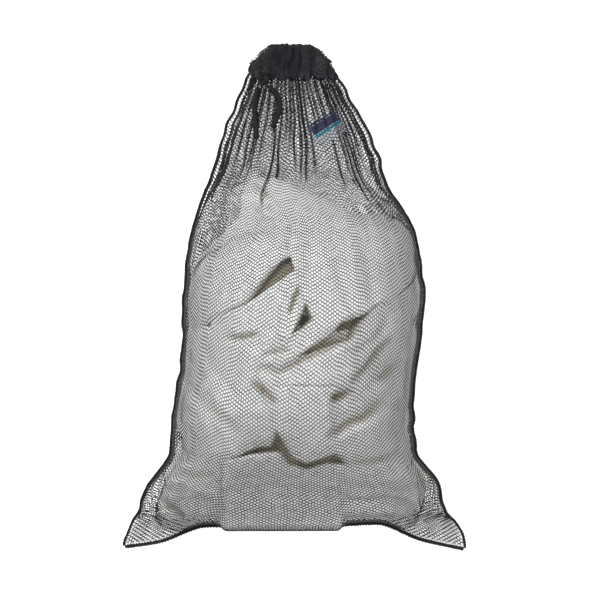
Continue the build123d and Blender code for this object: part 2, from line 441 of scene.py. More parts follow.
# ---------------------------------------------------------------- towels
class Fold:
    """One fold of a towel that lies on the load.

    The corners go round from the lower left as seen from above; each edge runs from one corner to
    the next through its own points: lower and upper left to right, left and right upwards. The
    depths are millimetres below the load's skin, at the corners.
    """

    def __init__(self, towel, corners, depths, lower=(), right=(), upper=(), left=(),
                 thick=14.0, layers=3, grain=30.0, crease=2.4, tuck=4.0):
        self.towel = towel
        self.corners = np.array(corners, float)
        self.depths = depths
        self.edges = [np.array([corners[a], *via, corners[b]], float)
                      for a, b, via in ((0, 1, lower), (1, 2, right), (3, 2, upper), (0, 3, left))]
        self.thick = thick
        self.layers = layers
        self.grain = grain
        self.crease = crease
        self.tuck = tuck
        self.seed = 0


FOLDS = [
    Fold("towel_middle", [(-104, -72), (96, -78), (100, 30), (-98, 14)], (8, 8, 8, 8), thick=9, layers=1),
    Fold("towel_middle", [(-90, -190), (80, -190), (72, -130), (-62, -130)], (9, 9, 9, 9), thick=8,
         layers=1),
    Fold("towel_middle_right", [(86, -84), (136, -84), (142, 44), (86, 34)], (8, 6, 6, 8), thick=9,
         layers=1),
    Fold("towel_bottom_left", [(-154, -242), (-66, -242), (-62, -160), (-138, -150)], (3, 8, 10, 3),
         left=[(-154, -215), (-146, -182)], grain=-22, crease=3.0),
    Fold("towel_bottom_right", [(46, -242), (136, -241), (130, -154), (46, -168)], (8, 3, 4, 10),
         right=[(147, -215), (141, -182)], grain=12, crease=3.0),
    Fold("towel_middle_right", [(40, -180), (138, -170), (132, -98), (44, -108)], (7, 4, 4, 6),
         upper=[(90, -112)], grain=18, crease=2.6),
    Fold("towel_middle_left", [(-132, -160), (-20, -144), (-32, -56), (-123, -20)], (3, 4, 4, 5),
         lower=[(-104, -174), (-73, -176), (-42, -160), (-27, -159)],
         right=[(-27, -120), (-36, -100), (-38, -80)], upper=[(-74, -40)], grain=-52, layers=2),
    Fold("towel_middle_right", [(42, -130), (132, -120), (143, 40), (56, -90)], (8, 4, 5, 5),
         right=[(138, -60), (142, -10)], upper=[(88, -66), (112, -30)], grain=30, crease=2.2),
    Fold("towel_middle", [(-24, -146), (48, -162), (62, -92), (-42, -90)], (4, 4, 6, 5),
         lower=[(-12, -154), (0, -169), (15, -176), (35, -170)], right=[(50, -140), (47, -118)],
         left=[(-28, -122), (-36, -102)], grain=70, layers=2),
    Fold("towel_middle_right", [(-42, -98), (126, -36), (120, 20), (-36, -57)], (4, 3, 5, 5),
         lower=[(8, -94), (52, -96), (86, -76), (112, -56)],
         upper=[(4, -61), (46, -49), (66, -42), (80, -22)], grain=24, crease=2.2, layers=2),
    Fold("towel_top", [(-74, 66), (-6, 40), (10, 120), (-66, 122)], (5, 6, 3, 3),
         lower=[(-40, 56)], upper=[(-52, 134), (-30, 134), (-10, 130)], grain=80),
    Fold("towel_left", [(-100, -44), (0, -36), (6, 36), (-96, -14)], (7, 5, 7, 7),
         lower=[(-50, -44), (-34, -55), (-16, -56)], right=[(6, -22), (14, -6), (9, 14)],
         upper=[(-60, -9), (-27, 14), (-10, 26)], grain=40, layers=2),
    Fold("towel_left", [(-124, -38), (-58, -5), (-4, 47), (-76, 78)], (3, 3, 3, 3),
         right=[(-48, 4), (-27, 29), (-11, 43)], upper=[(-42, 68)],
         left=[(-124, 0), (-113, 34), (-99, 56)], grain=35, layers=2),
    Fold("towel_right", [(20, -23), (114, 10), (118, 86), (3, 124)], (2.4, 2.4, 2, 2),
         lower=[(26, -47), (41, -39.5), (56, -25), (78, -18)], right=[(140, 36), (134, 66)],
         upper=[(43, 107), (66, 97), (98, 87)], left=[(13, -6), (6, 15), (0, 34), (-5, 46), (-3, 90)],
         grain=100),
    Fold("towel_bottom_middle", [(-81, -254.5), (56, -254.5), (55, -181), (-76, -176)], (2, 2, 2, 2),
         upper=[(-45, -168), (-18, -166), (-5, -181), (15, -186), (38, -179)],
         grain=3, crease=0.8, layers=4, tuck=2.5),
]
for number, each in enumerate(FOLDS):
    each.seed = 10 + number

# openings between the folds that go down to the lower towels: outline, depth, how dark the shade painted in
# them is
GAPS = [
    ([(-57, -5), (-48, 5), (-27, 30), (-10, 44), (-4, 45), (0, 32), (-10, 26), (-27, 14)], 15, 0.95),
    ([(4, 16), (-3, 4), (-8, -14), (-4, -17), (3, 1), (8, 6)], 6, 0.5),
    ([(14, -4), (22, -21), (7, -33), (-3, -37), (5, -22)], 15, 0.9),
    ([(87, -14), (74, -30), (65, -45), (46, -51), (19, -60), (2, -63), (20, -51), (41, -40), (55, -25),
      (74, -19)], 13, 0.72),
    ([(-74, -175), (-42, -160), (-27, -159), (-19, -142), (-10, -156), (0, -171), (15, -178), (35, -172),
      (48, -166), (64, -180), (38, -179), (15, -185), (-5, -180), (-17, -166), (-40, -168)], 12, 0.55),
]
# shallower folds: run, half width, depth
CREASES = [
    ([(-53, 127), (-40, 117), (-27, 109)], 2.8, 7),
    ([(-50, 98), (-36, 88), (-22, 80)], 2.6, 5),
    ([(-34, -60), (-20, -57), (-8, -55)], 2.8, 7),
    ([(-36, -75), (-18, -80), (14, -64), (40, -54), (60, -46)], 3.6, 9),
    ([(-44, -92), (-30, -104), (-22, -112)], 3.2, 11),
    ([(64, -101), (45, -108)], 3.6, 12),
    ([(98, -114), (81, -127), (61, -134), (41, -148)], 4.0, 10),
    ([(111, -45), (97, -56), (81, -77), (67, -88)], 3.4, 9),
    ([(119, -73), (103, -86)], 3.8, 9),
    ([(-76, -42), (-60, -41), (-44, -38)], 2.6, 9),
    ([(-145, -226), (-128, -238)], 4.2, 10),
    ([(-125, -196), (-108, -195), (-90, -192)], 3.4, 5),
    ([(50, -186), (52, -215), (57, -248)], 1.6, 5),
    ([(-81, -186), (-80, -215), (-77, -248)], 1.6, 4),
    ([(70, -178), (95, -176), (112, -170)], 3.4, 8),
    ([(64, -60), (92, -42), (112, -12)], 4.0, 4),
    ([(44, 60), (52, 20), (62, -8)], 6.0, 3),
    ([(70, 84), (80, 40), (88, 4)], 7.0, 3),
    ([(-112, -100), (-84, -128), (-60, -142)], 5.0, 4),
    ([(-100, -70), (-76, -92), (-58, -112)], 5.0, 3),
]


def to_segments(x, y, points, closed):
    """Distance from points of the plan to a line of segments, and whether they are inside it."""
    ends = np.array(points, float)
    starts = np.roll(ends, 1, 0)
    if not closed:
        starts, ends = ends[:-1], ends[1:]
    best = np.full(x.shape, 1e9)
    inside = np.zeros(x.shape, bool)
    for (ax, ay), (bx, by) in zip(starts, ends):
        run = (bx - ax) ** 2 + (by - ay) ** 2
        t = np.clip(((x - ax) * (bx - ax) + (y - ay) * (by - ay)) / run, 0, 1)
        best = np.minimum(best, np.hypot(x - ax - t * (bx - ax), y - ay - t * (by - ay)))
        if ay != by:
            crosses = ((ay > y) != (by > y)) & (x < ax + (y - ay) / (by - ay) * (bx - ax))
            inside ^= crosses
    return best, inside


def relief(x, y):
    """How much deeper the gaps and creases make the load, and how dark the shade painted there is."""
    deeper, dark = np.zeros(x.shape), np.zeros(x.shape)
    for outline, depth, painted_darkness in GAPS:
        away, inside = to_segments(x, y, outline, True)
        sunk = smooth(np.where(inside, away, -away), -1.5, 3.2)
        # painted shade inside each gap, as dark as its entry in the table
        deeper, dark = np.maximum(deeper, depth * sunk), np.maximum(dark, painted_darkness * sunk)
    for run, width, depth in CREASES:
        away, _ = to_segments(x, y, run, False)
        (ax, ay), (bx, by) = run[0], run[-1]
        reach = 0.7 * math.hypot(bx - ax, by - ay) + width
        taper = np.clip(1.1 - (np.hypot(x - (ax + bx) / 2, y - (ay + by) / 2) / reach) ** 2, 0, 1)
        sunk = depth * taper * np.exp(-((away / (1.3 * width)) ** 2))
        # painted shade: creases deeper than 2 mm darken the cloth's colour a little
        deeper, dark = np.maximum(deeper, sunk), np.maximum(dark, 0.04 * np.maximum(sunk - 2, 0))
    return deeper, dark


def edge_line(edge, t, seed):
    """Points at fractions t along a fold's edge, which wavers a little."""
    run = np.concatenate([[0], np.cumsum(np.linalg.norm(np.diff(edge, axis=0), axis=1))])
    line = np.stack([curve_through(run, edge[:, k], t * run[-1]) for k in range(2)], -1)
    waver = 1.0 * np.stack([noise(t * 6, t * 0 + 0.3, seed), noise(t * 6, t * 0 + 0.3, seed + 50)], -1)
    return line + waver * (np.sin(np.pi * t) ** 0.5)[:, None]


def fold_points(f, spacing=1.6):
    """Rows of points of one fold: plan position, distance from its rim, depth, and painted shade."""
    c00, c10, c11, c01 = f.corners
    size = max(np.linalg.norm(c10 - c00), np.linalg.norm(c01 - c00))
    count = int(size / spacing)
    rim = np.array([0, 0.25, 0.7, 1.4, 2.4, 3.6]) / size
    s = np.concatenate([rim, np.linspace(5 / size, 1 - 5 / size, count), 1 - rim[::-1]])
    low, right, high, left = (edge_line(edge, s, f.seed + k) for k, edge in enumerate(f.edges))
    a, b = s[None, :, None], s[:, None, None]
    flat = ((1 - b) * low[None] + b * high[None] + (1 - a) * left[:, None] + a * right[:, None]
            - (1 - a) * (1 - b) * c00 - a * (1 - b) * c10 - a * b * c11 - (1 - a) * b * c01)
    near = np.minimum(np.minimum(s, 1 - s)[None, :], np.minimum(s, 1 - s)[:, None]) * size
    d00, d10, d11, d01 = f.depths
    depth = ((1 - a) * (1 - b) * d00 + a * (1 - b) * d10 + a * b * d11 + (1 - a) * b * d01)[..., 0]
    x, y = flat[..., 0], flat[..., 1]
    depth = depth + f.tuck * (1 - smooth(near, 0, 13)) ** 2
    depth = depth - f.crease * (creases(x, y, f.grain, 19, f.seed) - 0.5) * smooth(near, 0, 14)
    depth = depth - 1.6 * noise(x / 42, y / 42, f.seed + 20) - 0.4 * noise(x / 9, y / 9, f.seed + 30)
    deeper, dark = relief(x, y)
    return flat, near, np.maximum(depth, 1.0) + deeper, dark


def fold_mesh(f):
    """Points, quads and painted shade of one fold: its layers, each a thin pillow with a round rim."""
    flat, near, depth, shade = fold_points(f)
    rows, columns = near.shape
    layer = f.thick / f.layers
    points, quads, start = [], [], 0
    middle = flat.reshape(-1, 2).mean(0)
    for k in range(f.layers):
        inset = 1 - (0.0, 0.016, 0.004, 0.02)[k % 4]
        shifted = middle + (flat - middle) * inset
        shifted = shifted + 0.8 * np.array([math.sin(2.1 * k + f.seed), math.cos(1.7 * k + f.seed)])
        round_off = np.clip(near / (layer * 0.55), 0, 1)
        half = layer / 2 * np.sqrt(np.clip(1 - (1 - round_off) ** 2, 0, 1))
        centre = depth + layer * (k + 0.5)
        for sign in (-1, 1):
            points.append(on_load(shifted[..., 0], shifted[..., 1], centre + sign * half).reshape(-1, 3))
            face = grid_faces(rows, columns, start)
            quads.append(face if sign < 0 else face[:, ::-1])
            start += rows * columns
    points = np.concatenate(points)
    points[:, 2] = np.maximum(points[:, 2], 1.6)
    return points, np.concatenate(quads), np.tile(shade.ravel(), 2 * f.layers)


# the painted shade, stored on each point for the cloth's colour to read
def set_shade(obj, shade):
    layer = obj.data.attributes.new("shade", "FLOAT", "POINT")
    layer.data.foreach_set("value", shade.astype(np.float32))


def weld(obj, distance=0.00002):
    work = bmesh.new()
    work.from_mesh(obj.data)
    bmesh.ops.remove_doubles(work, verts=work.verts, dist=distance)
    work.to_mesh(obj.data)
    work.free()
    obj.data.polygons.foreach_set("use_smooth", np.full(len(obj.data.polygons), True))


def make_towel(name, material):
    """A towel of the upper layer, from all of its folds."""
    points, quads, shade, count = [], [], [], 0
    for f in FOLDS:
        if f.towel == name:
            p, q, s = fold_mesh(f)
            points.append(p)
            quads.append(q + count)
            shade.append(s)
            count += len(p)
    obj = make_mesh(name + "_cloth", np.concatenate(points), {4: np.concatenate(quads)})
    set_shade(obj, np.concatenate(shade))
    weld(obj)
    use(obj, material)
    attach(obj, "bag")
    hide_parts(name)
    return obj


# strength of the shade painted on the lower towels' upper side
CORE_SHADE = 0.62
CORE_SEED = 200
CORE_DEPTH = 18.0  # the lower towels lie this far under the net on top, where the upper ones cover them
SIDE_DEPTH = 3.0  # and this far elsewhere
CORES = {
    "towel_under_bottom": (-240, -148),
    "towel_under_middle": (-152, -22),
    "towel_under_top": (-26, 94),
}


def core_points(ends, seed):
    """Rings of points round a stack of folded towels, and how much shade is painted on them."""
    start, end = ends
    rows, columns = 90, 260
    t = np.linspace(0, 1, rows)
    y = start + (end - start) * (0.5 - 0.5 * np.cos(np.pi * t))
    angle = np.linspace(0, 2 * np.pi, columns, endpoint=False)
    y, angle = pairs(y, angle)
    centre, half, level, rise = section_at(y, LOAD_SECTIONS)
    c, s = np.cos(angle), np.sin(angle)
    lumps = noise(c * 3 + y / 40, s * 3 + y / 55, seed)
    depth = SIDE_DEPTH + (CORE_DEPTH - SIDE_DEPTH) * smooth(s, 0.15, 0.5) + 2.0 * lumps
    z = level + rise * s
    layers = 1.8 * np.abs(np.sin(np.pi * (z + 3 * noise(y / 60, c * 2, seed + 1)) / 15)) ** 0.5
    depth = depth + 2.2 - layers * smooth(np.abs(c), 0.55, 0.85)
    round_off = 20.0
    from_end = np.minimum(y - start, end - y)
    shrink = np.sqrt(np.clip(1 - (1 - np.clip(from_end / round_off, 0, 1)) ** 2, 0, 1))
    nx, nz = c / half, s / rise
    n = np.sqrt(nx * nx + nz * nz)
    depth = np.minimum(depth + (1 - shrink) * 16, np.minimum(half, rise) * 0.9)
    x = centre + half * c - depth * nx / n
    z = np.maximum(level + rise * s - depth * nz / n, 1.6 + 0.5 * (1 - shrink))
    # painted shade on the core's upper side, where the upper towels cover it, fading toward its ends
    shade = CORE_SHADE * smooth(s, 0.1, 0.4) * smooth(from_end, 8, 40)
    return np.stack([x, y, z], -1), shade


def make_core(name, ends, material, seed):
    """A stack of folded towels that fills the lower half of the bag, its layers showing at the sides."""
    rings, shade = core_points(ends, seed)
    points = np.concatenate([rings.reshape(-1, 3), rings[[0, -1]].mean(1)])
    obj = make_mesh(name + "_cloth", points, tube_faces(*shade.shape))
    set_shade(obj, np.concatenate([shade.ravel(), [0, 0]]))
    use(obj, material)
    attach(obj, "bag")
    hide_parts(name)
    return obj


# ---------------------------------------------------------------- the net's resting form
GRID_STEP = 2.0
REACH = 7  # grid steps that the taut net bridges, either way
TAUT = 60.0  # radius of its sag across a gap
SLANT = 2.4  # its slope from the load's rim down to the flat corners


def sweep_grid(values, better, sign):
    """Values combined with their neighbours', each lowered or raised by its distance."""
    out = values.copy()
    for di in range(-REACH, REACH + 1):
        for dj in range(-REACH, REACH + 1):
            drop = (di * di + dj * dj) * GRID_STEP ** 2 / (2 * TAUT)
            out = better(out, np.roll(values, (di, dj), (0, 1)) - sign * drop)
    return out


def load_grid():
    """Height of the load over the bag's skin seen from above, and of a taut net that bridges its gaps."""
    xs, ys = np.arange(-200, 201, GRID_STEP), np.arange(-290, 271, GRID_STEP)
    gx, gy = pairs(xs, ys)
    skin, _ = skin_height(gx, gy)
    empty = -17 * (1 - smooth(gy, 95, 118))
    load = np.full(gx.shape, -1e3)
    tops = [core_points(ends, CORE_SEED + k)[0] for k, ends in enumerate(CORES.values())]
    for f in FOLDS:
        flat, _, depth, _ = fold_points(f)
        tops.append(on_load(flat[..., 0], flat[..., 1], depth))
    for place in tops:
        i = np.clip(np.round((place[..., 0] - xs[0]) / GRID_STEP).astype(int), 0, len(xs) - 1)
        j = np.clip(np.round((place[..., 1] - ys[0]) / GRID_STEP).astype(int), 0, len(ys) - 1)
        np.maximum.at(load, (i.ravel(), j.ravel()), place[..., 2].ravel())
    load = np.maximum(load - skin, empty)
    taut = sweep_grid(sweep_grid(load, np.maximum, 1), np.minimum, -1)
    for _ in range(2):
        padded = np.pad(taut, 1, mode="edge")
        beside = padded[:-2, 1:-1] + padded[2:, 1:-1] + padded[1:-1, :-2] + padded[1:-1, 2:]
        taut = (beside + 4 * taut) / 8
    taut = np.maximum(taut, load)
    # at the bottom the net slants from the load's rim out to the flat corners
    slant = taut + skin
    for _ in range(13):
        for shift in ((1, 0), (-1, 0), (0, 1), (0, -1)):
            slant = np.maximum(slant, np.roll(slant, shift, (0, 1)) - SLANT * GRID_STEP)
    taut = taut + (slant - skin - taut) * (1 - smooth(gy, -215, -190))
    wide = np.where(load > empty, load, -40)
    for shift in ((1, 0), (-1, 0), (0, 1), (0, -1)) * 2:
        wide = np.maximum(wide, np.roll(wide, shift, (0, 1)))
    return (xs, ys, taut + 0.9), (xs, ys, wide + 0.9)


def sample_grid(grid, x, y):
    """Value of a grid of the plan at places between its points."""
    xs, ys, values = grid
    i = np.clip((x - xs[0]) / GRID_STEP, 0, len(xs) - 1.001)
    j = np.clip((y - ys[0]) / GRID_STEP, 0, len(ys) - 1.001)
    a, b = i.astype(int), j.astype(int)
    s, t = i - a, j - b
    return ((values[a, b] * (1 - s) + values[a + 1, b] * s) * (1 - t)
            + (values[a, b + 1] * (1 - s) + values[a + 1, b + 1] * s) * t)


# folds that run from the gathered head down the neck: place across, depth, and where they fade out
FRONT_PLEATS = [
    (-0.92, 12, 60), (-0.83, 13, 95), (-0.70, 12, 150), (-0.575, 13, 112), (-0.51, 13, 128), (-0.38, 12, 185),
    (-0.27, 13, 88), (-0.13, 12, 160), (-0.02, 13, 125), (0.04, 13, 114), (0.10, 13, 140), (0.24, 12, 165),
    (0.38, 12, 172), (0.515, 13, 112), (0.575, 13, 90), (0.635, 13, 98), (0.76, 12, 145), (0.88, 12, 92),
    (0.95, 11, 118),
]
BACK_PLEATS = [
    (-0.93, 12, 80), (-0.82, 13, 95), (-0.7, 12, 130), (-0.6, 12, 170), (-0.48, 13, 118), (-0.41, 12, 140),
    (-0.3, 12, 160), (-0.2, 13, 96), (-0.07, 12, 150), (0.09, 12, 108), (0.16, 13, 126), (0.3, 12, 150),
    (0.42, 13, 104), (0.55, 12, 160), (0.66, 13, 122), (0.73, 12, 130), (0.85, 12, 150), (0.93, 12, 94),
]
PLEAT_HALF = 0.65  # millimetres
BULGE = 9.0  # the load swells this far over the bottom seam


def pleat_depth(place, y, half, pleats):
    """How far the folds pull the net inwards."""
    depth = np.zeros_like(y)
    for number, (at, deep, fade) in enumerate(pleats):
        grown = smooth(y, fade, fade + 48)
        bend = 0.020 * noise(y / 34, y * 0 + number * 3.7, 52)
        away = (place - at - bend) * half / PLEAT_HALF
        depth = np.maximum(depth, deep * grown * np.exp(-away ** 2))
    ripple = np.sin(place * 92 + 3 * noise(place * 7, y / 60, 51)) * smooth(y, 222, 247)
    return depth + 1.3 * ripple


def panel_surface(front, taut_grid, load_limit):
    """The panel's form as an even grid over its flat cut: points (across, along, 3)."""
    across, along = 1301, 460
    place = np.linspace(-1, 1, across)
    q = np.linspace(0, 1, along) ** 1.15
    low = bottom_at(place * 188)
    place, q = pairs(place, q)
    y = low[:, None] * (1 - q) + NET_TOP * q
    centre, half, level, rise = section_at(y)
    # even steps round a tall section, and straight across a flat one
    flatness = 1 - np.clip(rise / half / 0.6, 0, 1)
    angle = np.pi / 2 * place * (1 - flatness) + np.arcsin(place) * flatness
    u, w = np.sin(angle), np.cos(angle)
    waver = 1.4 * noise(y / 13, y * 0 + np.sign(place), 61) * smooth(np.abs(place), 0.8, 1)
    pleats = pleat_depth(place, y, half, FRONT_PLEATS if front else BACK_PLEATS)
    pleats = pleats * np.maximum(w, 0.02) ** 0.3
    x = centre + half * u
    up = w if front else -w
    nx, nz = u / half, up / rise
    n = np.sqrt(nx * nx + nz * nz)
    z = level + rise * up
    raised = 0
    if front:
        level_out = np.abs(nz) / n * smooth(1 - np.abs(u), 0.0, 0.05)
        over = sample_grid(taut_grid, x, y) * (1 - smooth(y, 128, 150))
        raised = np.maximum(over, 0) * smooth(1 - np.abs(u), 0.0, 0.06) * smooth(y - low[:, None], 0, 5)
        room = np.maximum(-sample_grid(load_limit, x, y), 0) * level_out
        inward = np.minimum(pleats - np.minimum(over, 0) * level_out, room)
        inward = inward - 0.8 * noise(x / 30, y / 26, 63) * smooth(y, 130, 160)
    else:
        beside_label = window(x, 2, 14, 62, 74) * window(y, 150, 164, 204, 218)
        inward = pleats * (1 - 0.75 * beside_label)
    deepest = 0.85 * rise + 2
    smooth_skin = np.stack([x, y, z], -1)
    smooth_skin[..., 0] -= np.minimum(pleats, deepest) * nx / n
    smooth_skin[..., 2] -= np.minimum(pleats, deepest) * nz / n
    inward = np.minimum(inward, deepest)
    x = x - inward * nx / n + waver * np.sign(place)
    z = z - inward * nz / n + raised
    if front:
        z = np.maximum(z, level + 0.35)
        swell = window(x, -88, -74, 48, 62) * window(z, 6, 24, 40, 85)
        y = y - BULGE * swell * (1 - smooth(y, -250, -226))
    else:
        floor = FLOOR_GAP + 0.3 * noise(x / 30, y / 30, 64)
        z = np.minimum(np.maximum(z, floor), level - 0.35)
    # the net's cells are spaced by the smooth skin, so that small bumps don't shift its rows,
    # and by its real form at the bottom, where it rises steeply
    lift = np.stack([x, y, z], -1)
    spacing = smooth_skin + (lift - smooth_skin) * (1 - smooth(y, -225, -190))[..., None]
    lift = np.concatenate([lift, spacing], -1)
    even = resample(lift.transpose(1, 0, 2), int(PANEL_WIDTH / 2) + 1)
    return resample(even.transpose(1, 0, 2), int(PANEL_LENGTH / 2.5) + 1)[..., :3]


def normals_of(surface):
    du, dv = np.gradient(surface, axis=0), np.gradient(surface, axis=1)
    n = np.cross(du, dv)
    return n / np.maximum(np.linalg.norm(n, axis=-1, keepdims=True), 1e-9)


def on_surface(surface, normals, a, b, height):
    """Points of a surface grid at fractions a across and b along, raised by height."""
    rows, columns = surface.shape[0] - 1, surface.shape[1] - 1
    i, j = np.clip(a, 0, 1) * rows, np.clip(b, 0, 1) * columns
    i0, j0 = np.minimum(i.astype(int), rows - 1), np.minimum(j.astype(int), columns - 1)
    s, t = (i - i0)[..., None], (j - j0)[..., None]

    def mix(grid):
        low = grid[i0, j0] * (1 - s) + grid[i0 + 1, j0] * s
        high = grid[i0, j0 + 1] * (1 - s) + grid[i0 + 1, j0 + 1] * s
        return low * (1 - t) + high * t

    over_a, over_b = (a - np.clip(a, 0, 1))[..., None], (b - np.clip(b, 0, 1))[..., None]
    step_a = (grid_step(surface, i0, j0, 0) * rows)
    step_b = (grid_step(surface, i0, j0, 1) * columns)
    return mix(surface) + over_a * step_a + over_b * step_b + mix(normals) * height


def grid_step(surface, i0, j0, axis):
    return surface[i0 + 1, j0] - surface[i0, j0] if axis == 0 else surface[i0, j0 + 1] - surface[i0, j0]


def cell_corners():
    """The six corners of a hole about its cell's centre, from the widths of the strands round it."""
    reach = COLUMN - LEVEL
    corners = np.array([(LEVEL / 2 + reach, 0), (LEVEL / 2, PITCH / 2), (-LEVEL / 2, PITCH / 2),
                        (-LEVEL / 2 - reach, 0), (-LEVEL / 2, -PITCH / 2), (LEVEL / 2, -PITCH / 2)])
    halves = [SLANT_HALF, LEVEL_HALF, SLANT_HALF, SLANT_HALF, LEVEL_HALF, SLANT_HALF]
    lines = []
    for k in range(6):
        a, b = corners[k], corners[(k + 1) % 6]
        inward = np.array([-(b - a)[1], (b - a)[0]]) / np.linalg.norm(b - a)
        lines.append((a + inward * halves[k], b - a))
    holes = []
    for k in range(6):
        (p, d), (r, e) = lines[k - 1], lines[k]
        t = np.cross(r - p, e) / np.cross(d, e)
        holes.append(p + t * d)
    return np.array(holes)


def net_mesh(name, surface, columns, rows, width, length, wobble=0.16, seed=0, first_high=False):
    """A real net of hexagonal holes over a range of columns and rows of a panel's flat cut.

    Every other column stands half a row higher, the first one too if first_high is set.
    """
    normals = normals_of(surface)
    hole = cell_corners()
    c, r = pairs(np.arange(*columns), np.arange(*rows))
    cu = (c + 0.5) * COLUMN
    low_column = (c % 2 == 0) != first_high
    cv = (r + np.where(low_column, 0.5, 1.0)) * PITCH
    u = cu[..., None] + hole[:, 0]
    v = cv[..., None] + hole[:, 1]
    rng = np.random.default_rng(seed)
    u = u + wobble * noise(cu / 6, cv / 6, seed + 1)[..., None] + rng.normal(0, 0.05, u.shape)
    v = v + wobble * noise(cu / 6, cv / 6, seed + 2)[..., None] + rng.normal(0, 0.05, v.shape)
    top = on_surface(surface, normals, u / width, v / length, NET_THICK / 2)
    under = on_surface(surface, normals, u / width, v / length, -NET_THICK / 2)
    nc, nr = c.shape
    ident = np.arange(nc * nr * 6).reshape(nc, nr, 6)
    i, j = pairs(np.arange(nc), np.arange(nr))
    above = j + 1
    beside_up = j + np.where(low_column, 0, 1)
    beside_down = beside_up - 1

    def ring_of(i, j, ok):
        return ident[np.clip(i, 0, nc - 1), np.clip(j, 0, nr - 1)][ok]

    # strands shared with the cell above, at the upper right and at the lower right
    quads = []
    for column, row, (a, b, c, d) in (
        (i, above, (2, 1, 5, 4)),
        (i + 1, beside_up, (1, 0, 4, 3)),
        (i + 1, beside_down, (0, 5, 3, 2)),
    ):
        ok = (column < nc) & (row >= 0) & (row < nr)
        here, there = ident[ok], ring_of(column, row, ok)
        quads.append(np.stack([here[:, a], here[:, b], there[:, c], there[:, d]], -1))
    # joints where three holes meet: right of the strand above each cell, and left of it
    triangles = []
    for column, corners in ((i + 1, (1, 3, 5)), (i - 1, (2, 0, 4))):
        ok = (column >= 0) & (column < nc) & (above < nr) & (beside_up < nr)
        rings = ident[ok], ring_of(column, beside_up, ok), ring_of(i, above, ok)
        joint = np.stack([ring[:, k] for ring, k in zip(rings, corners)], -1)
        triangles.append(joint if corners[0] == 1 else joint[:, [0, 2, 1]])
    quads, triangles = np.concatenate(quads), np.concatenate(triangles)
    count = ident.size
    k = np.arange(6)
    ring = ident.reshape(-1, 6)
    turned = (k + 1) % 6
    walls = np.stack([ring[:, k], ring[:, turned], ring[:, turned] + count, ring[:, k] + count], -1)
    quads = np.concatenate([quads, quads[:, ::-1] + count, walls.reshape(-1, 4)])
    triangles = np.concatenate([triangles, triangles[:, ::-1] + count])
    points = np.concatenate([top.reshape(-1, 3), under.reshape(-1, 3)])
    return make_mesh(name, points, {4: quads, 3: triangles}, smooth_shading=False)


COLUMNS = int(PANEL_WIDTH / COLUMN)
ROWS = int(PANEL_LENGTH / PITCH)
NET_PIECES = 3


def make_panel(side, surface, material):
    """A net panel in three pieces, bottom to top. The top one crosses the neck's fold."""
    pieces = []
    upper = [f"shoulder_{side}_mesh_panel", f"neck_{side}_mesh_panel"]
    nodes = {0: [f"{side}_mesh_panel"], 1: [], 2: upper}
    for k in range(NET_PIECES):
        low, high = ROWS * k // NET_PIECES, ROWS * (k + 1) // NET_PIECES
        name = f"{side}_net_{('lower', 'middle', 'upper')[k]}"
        obj = net_mesh(name, surface, (0, COLUMNS), (low - (k > 0), high), PANEL_WIDTH, PANEL_LENGTH,
                       seed=100 + k, first_high=side == "back")
        use(obj, material)
        if nodes[k]:
            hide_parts(*nodes[k])
        if k < 2:
            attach(obj, "bag")
        else:
            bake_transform(obj)
        pieces.append(obj)
    return pieces


# ---------------------------------------------------------------- seams
def rope_mesh(name, line, wide, high, bead=3.2, depth=0.22, sides=10):
    """A bumpy overlocked edge: a flattened tube whose thread winds round it."""
    line = resample(line[None], int(line_length(line) / 0.8))[0]
    run = np.concatenate([[0], np.cumsum(np.linalg.norm(np.diff(line, axis=0), axis=1))])
    forward = np.gradient(line, axis=0)
    forward /= np.linalg.norm(forward, axis=1, keepdims=True)
    side = np.cross(forward, (0, 0, 1))
    side /= np.maximum(np.linalg.norm(side, axis=1, keepdims=True), 1e-9)
    up = np.cross(side, forward)
    angle = np.linspace(0, 2 * np.pi, sides, endpoint=False)
    swell = 1 + depth * np.cos(2 * angle[None] - 2 * np.pi * run[:, None] / bead)
    swell *= 1 + 0.08 * noise(run / 2.1, run * 0, 71)[:, None]
    ring = (line[:, None] + (wide * np.cos(angle)[None] * swell)[..., None] * side[:, None]
            + (high * np.sin(angle)[None] * swell)[..., None] * up[:, None])
    points = np.concatenate([ring.reshape(-1, 3), line[:1], line[-1:]])
    return make_mesh(name, points, tube_faces(len(line), sides))


def make_seams(front, back, material):
    for side, row in (("left", 0), ("right", -1)):
        edge = (front[row] + back[row]) / 2
        outward = -1 if side == "left" else 1
        edge = edge + np.array([outward * 1.6, 0, 0])
        obj = rope_mesh(f"{side}_seam_thread", edge, 1.6, 1.4, depth=0.34)
        use(obj, material)
        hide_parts(*(f"{part}{side}_side_seam" for part in ("", "shoulder_", "neck_")))
        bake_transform(obj)
    edge = (front[:, 0] + back[:, 0]) / 2 - np.array([0, 1.0, 0])
    obj = rope_mesh("bottom_seam_thread", edge, 2.1, 1.7, depth=0.3)
    use(obj, material)
    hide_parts("bottom_seam")
    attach(obj, "bag")


# ---------------------------------------------------------------- gathered head
HEAD_PROFILE = [
    # (y, half width, half height, fold depth)
    (245, 43.5, 11.4, 3.4),
    (250, 43.0, 12.8, 4.2),
    (256, 41.0, 14.2, 4.6),
    (262, 37.0, 14.6, 5.0),
    (268, 32.5, 13.8, 4.6),
    (274, 26.5, 12.4, 4.0),
    (278.5, 19.0, 10.6, 3.0),
    (281.5, 12.0, 8.0, 1.8),
    (282, 8.5, 5.5, 0.7),
    (279, 7.5, 4.6, 0.4),
    (262, 8.0, 4.5, 0.4),
    (250, 8.0, 4.5, 0.4),
]


